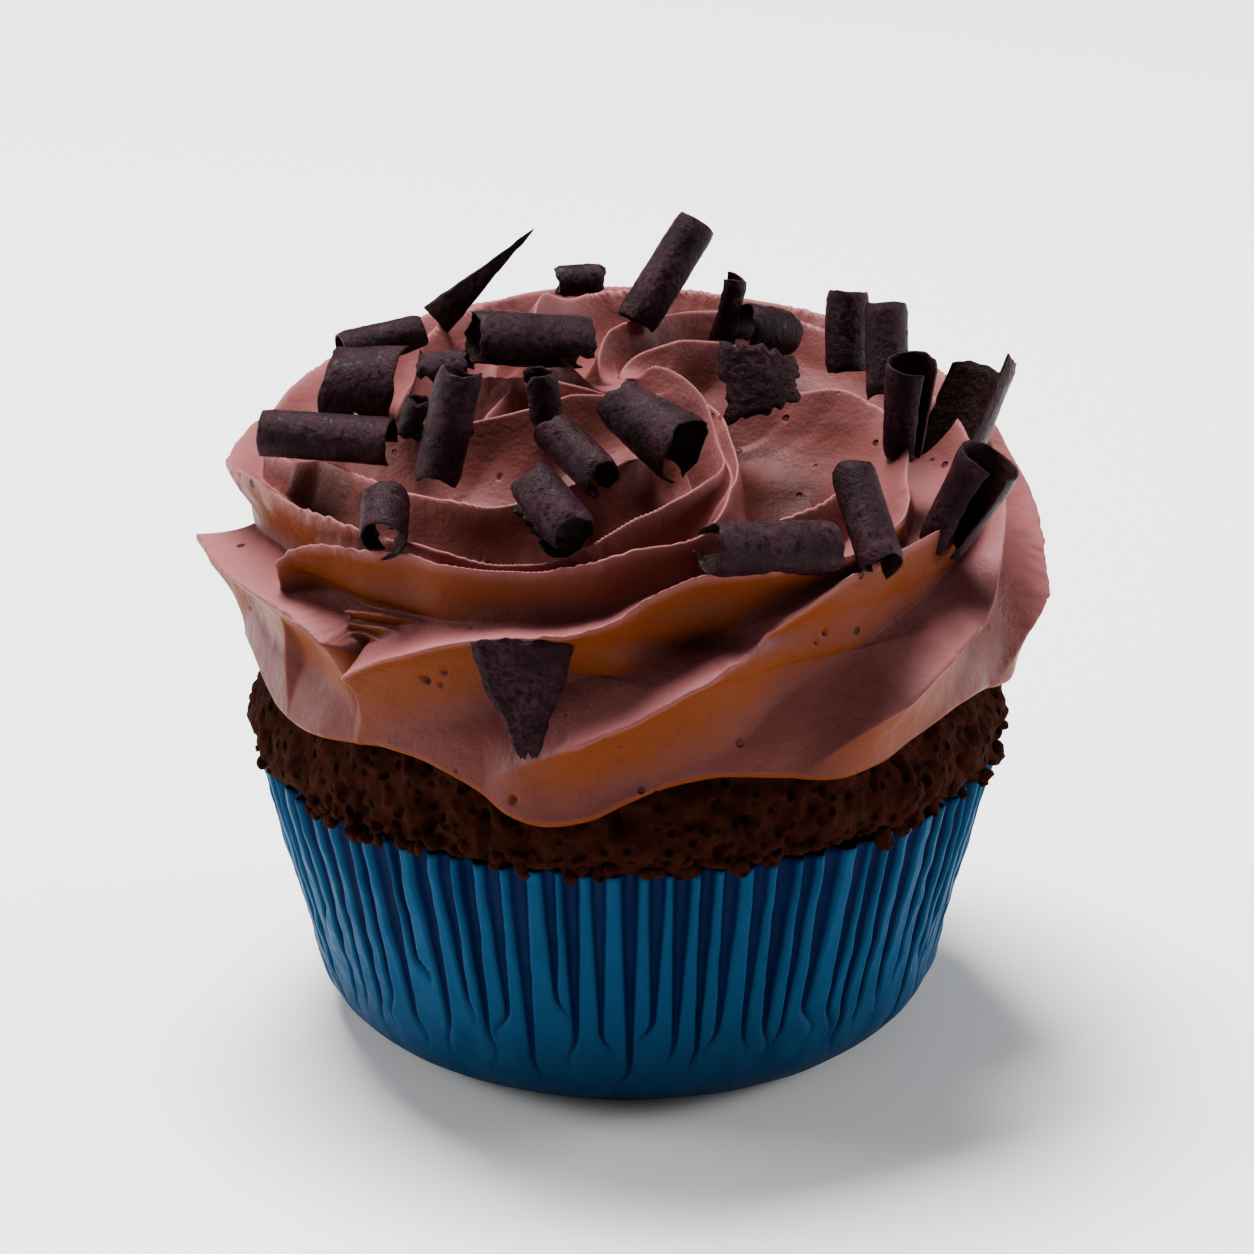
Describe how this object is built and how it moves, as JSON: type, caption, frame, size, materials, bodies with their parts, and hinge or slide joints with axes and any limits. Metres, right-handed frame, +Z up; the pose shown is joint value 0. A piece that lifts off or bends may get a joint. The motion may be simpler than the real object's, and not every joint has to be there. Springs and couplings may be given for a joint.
{
  "type": "chocolate cupcake",
  "caption": "Round chocolate cupcake in a fluted blue baking case, topped with a star-piped buttercream swirl and loose rolled chocolate shavings.",
  "frame": {"origin": "centre of the baking case's flat base, on the surface it stands on", "axes": "+Z up through the cake to the top of the swirl, -Y towards the front, +X to the right seen from the front"},
  "size_m": [0.079, 0.079, 0.0732],
  "materials": {
    "case": "satin",
    "cake": "matte",
    "frosting": "satin",
    "chocolate": "satin"
  },
  "bodies": {
    "root": {"paper_case": "case", "cake": "cake", "frosting": "frosting", "chocolate_curl_01": "chocolate", "chocolate_curl_02": "chocolate", "chocolate_curl_03": "chocolate", "chocolate_curl_04": "chocolate", "chocolate_curl_05": "chocolate", "chocolate_curl_06": "chocolate", "chocolate_curl_07": "chocolate", "chocolate_curl_08": "chocolate", "chocolate_curl_09": "chocolate", "chocolate_curl_10": "chocolate", "chocolate_curl_11": "chocolate", "chocolate_curl_12": "chocolate", "chocolate_curl_13": "chocolate", "chocolate_curl_14": "chocolate", "chocolate_curl_15": "chocolate", "chocolate_curl_16": "chocolate", "chocolate_curl_17": "chocolate", "chocolate_curl_18": "chocolate", "chocolate_curl_19": "chocolate", "chocolate_curl_20": "chocolate", "chocolate_curl_21": "chocolate", "chocolate_curl_22": "chocolate", "chocolate_curl_23": "chocolate", "chocolate_curl_24": "chocolate", "chocolate_curl_25": "chocolate", "chocolate_curl_26": "chocolate"}
  },
  "joints": []
}
